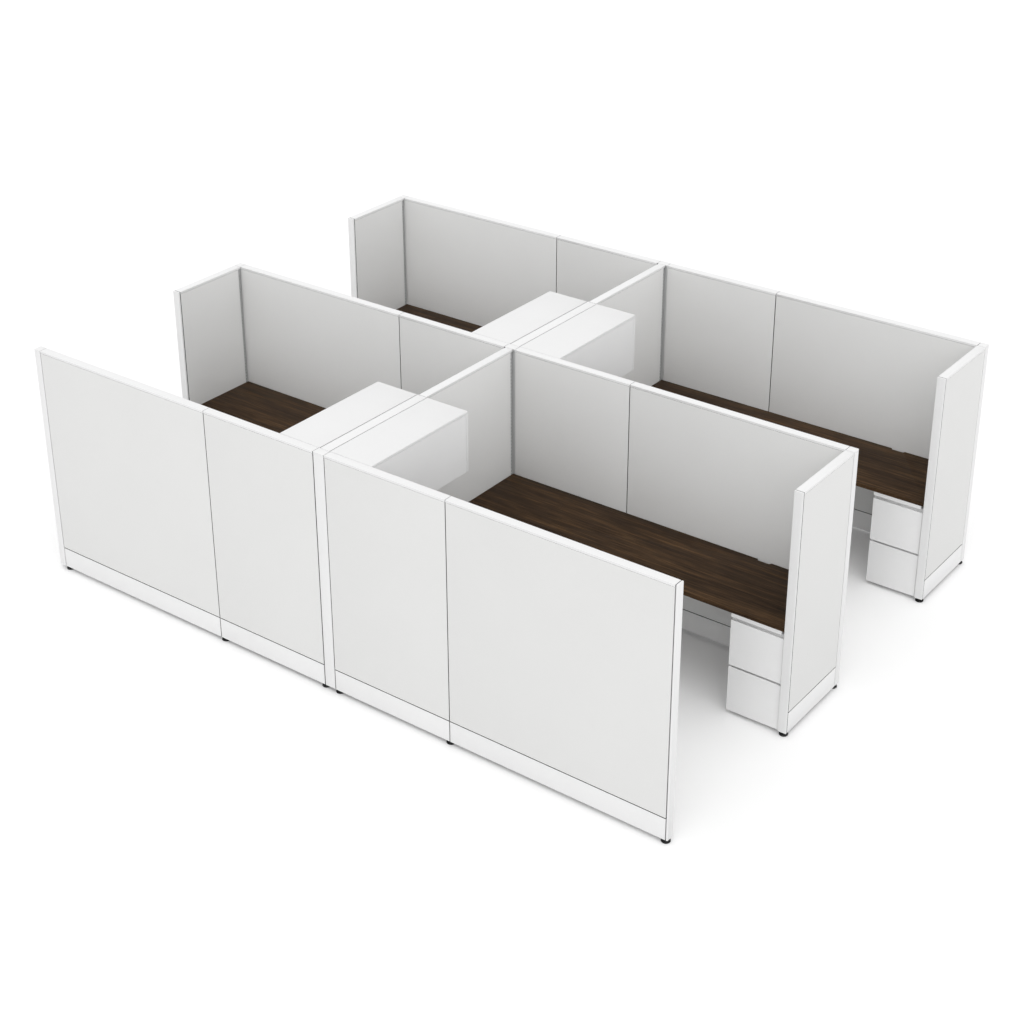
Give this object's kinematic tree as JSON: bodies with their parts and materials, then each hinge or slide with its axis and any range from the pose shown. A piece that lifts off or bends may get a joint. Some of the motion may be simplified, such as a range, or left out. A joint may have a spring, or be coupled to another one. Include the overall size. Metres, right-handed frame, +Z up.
{
  "type": "cubicle workstation",
  "caption": "Cubicle workstation cluster: white panel walls with wings, dark walnut worksurfaces, drawer pedestals and overhead cabinets",
  "frame": {"origin": "on the floor, where the middle wall crosses the spine, which is the middle of the cluster's box", "axes": "+X along the long walls to the right as seen in the picture, +Y away from the picture's front wall, +Z up"},
  "size_m": [5.081, 3.8304, 1.68],
  "materials": {
    "tile_fabric": "smooth close weave",
    "base_white": "satin",
    "trim_white": "satin powder coat",
    "board_white": "satin laminate",
    "pedestal_steel": "satin powder coat",
    "drawer_steel": "satin powder coat",
    "frame_dark": "matt",
    "strip_grey": "matt",
    "walnut": "satin laminate with a straight grain",
    "glide_black": "moulded",
    "zinc_steel": "zinc plated"
  },
  "bodies": {
    "walls_and_desks": {"wide_frames": "frame_dark", "narrow_frames": "frame_dark", "spine_frames": "frame_dark", "wing_frames": "frame_dark", "wide_tiles": "tile_fabric", "narrow_tiles": "tile_fabric", "spine_tiles": "tile_fabric", "wing_tiles": "tile_fabric", "wide_base_covers": "base_white", "narrow_base_covers": "base_white", "spine_base_covers": "base_white", "wing_base_covers": "base_white", "wide_top_caps": "trim_white", "narrow_top_caps": "trim_white", "spine_top_caps": "trim_white", "wing_top_caps": "trim_white", "spine_posts": "trim_white", "corner_posts": "trim_white", "corner_strips": "strip_grey", "post_caps": "trim_white", "end_trims": "trim_white", "glide_feet": "glide_black", "glide_stems": "zinc_steel", "main_worksurfaces": "walnut", "return_worksurfaces": "walnut", "support_arms": "zinc_steel", "support_angles": "zinc_steel", "joining_plates": "zinc_steel", "overhead_lids": "board_white", "overhead_shelves": "board_white", "overhead_ends": "board_white", "overhead_backs": "board_white", "overhead_hangers": "zinc_steel", "door_pins": "zinc_steel", "pedestal_sides": "pedestal_steel", "pedestal_backs": "pedestal_steel", "pedestal_pans": "pedestal_steel", "pedestal_spacers": "board_white", "pedestal_feet": "glide_black", "drawer_channels": "zinc_steel"},
    "front_right_door": {"front_right_door": "board_white"},
    "front_right_upper_drawer": {"front_right_upper_box": "drawer_steel", "front_right_upper_front": "board_white"},
    "front_right_lower_drawer": {"front_right_lower_box": "drawer_steel", "front_right_lower_front": "board_white"},
    "front_left_door": {"front_left_door": "board_white"},
    "front_left_upper_drawer": {"front_left_upper_box": "drawer_steel", "front_left_upper_front": "board_white"},
    "front_left_lower_drawer": {"front_left_lower_box": "drawer_steel", "front_left_lower_front": "board_white"},
    "back_right_door": {"back_right_door": "board_white"},
    "back_right_upper_drawer": {"back_right_upper_box": "drawer_steel", "back_right_upper_front": "board_white"},
    "back_right_lower_drawer": {"back_right_lower_box": "drawer_steel", "back_right_lower_front": "board_white"},
    "back_left_door": {"back_left_door": "board_white"},
    "back_left_upper_drawer": {"back_left_upper_box": "drawer_steel", "back_left_upper_front": "board_white"},
    "back_left_lower_drawer": {"back_left_lower_box": "drawer_steel", "back_left_lower_front": "board_white"}
  },
  "joints": [
    {"name": "front_right_door_hinge", "type": "hinge", "parent": "walls_and_desks", "child": "front_right_door", "pos_m": [0.358, -1.4, 1.6485], "axis": [0, -1, 0], "range_deg": [0, 90]},
    {"name": "front_right_upper_slide", "type": "slide", "parent": "walls_and_desks", "child": "front_right_upper_drawer", "axis": [0, -1, 0], "range_m": [0, 0.4]},
    {"name": "front_right_lower_slide", "type": "slide", "parent": "walls_and_desks", "child": "front_right_lower_drawer", "axis": [0, -1, 0], "range_m": [0, 0.4]},
    {"name": "front_left_door_hinge", "type": "hinge", "parent": "walls_and_desks", "child": "front_left_door", "pos_m": [-0.358, -1.4, 1.6485], "axis": [0, 1, 0], "range_deg": [0, 90]},
    {"name": "front_left_upper_slide", "type": "slide", "parent": "walls_and_desks", "child": "front_left_upper_drawer", "axis": [0, -1, 0], "range_m": [0, 0.4]},
    {"name": "front_left_lower_slide", "type": "slide", "parent": "walls_and_desks", "child": "front_left_lower_drawer", "axis": [0, -1, 0], "range_m": [0, 0.4]},
    {"name": "back_right_door_hinge", "type": "hinge", "parent": "walls_and_desks", "child": "back_right_door", "pos_m": [0.358, 0.486, 1.6485], "axis": [0, -1, 0], "range_deg": [0, 90]},
    {"name": "back_right_upper_slide", "type": "slide", "parent": "walls_and_desks", "child": "back_right_upper_drawer", "axis": [0, -1, 0], "range_m": [0, 0.4]},
    {"name": "back_right_lower_slide", "type": "slide", "parent": "walls_and_desks", "child": "back_right_lower_drawer", "axis": [0, -1, 0], "range_m": [0, 0.4]},
    {"name": "back_left_door_hinge", "type": "hinge", "parent": "walls_and_desks", "child": "back_left_door", "pos_m": [-0.358, 0.486, 1.6485], "axis": [0, 1, 0], "range_deg": [0, 90]},
    {"name": "back_left_upper_slide", "type": "slide", "parent": "walls_and_desks", "child": "back_left_upper_drawer", "axis": [0, -1, 0], "range_m": [0, 0.4]},
    {"name": "back_left_lower_slide", "type": "slide", "parent": "walls_and_desks", "child": "back_left_lower_drawer", "axis": [0, -1, 0], "range_m": [0, 0.4]}
  ]
}
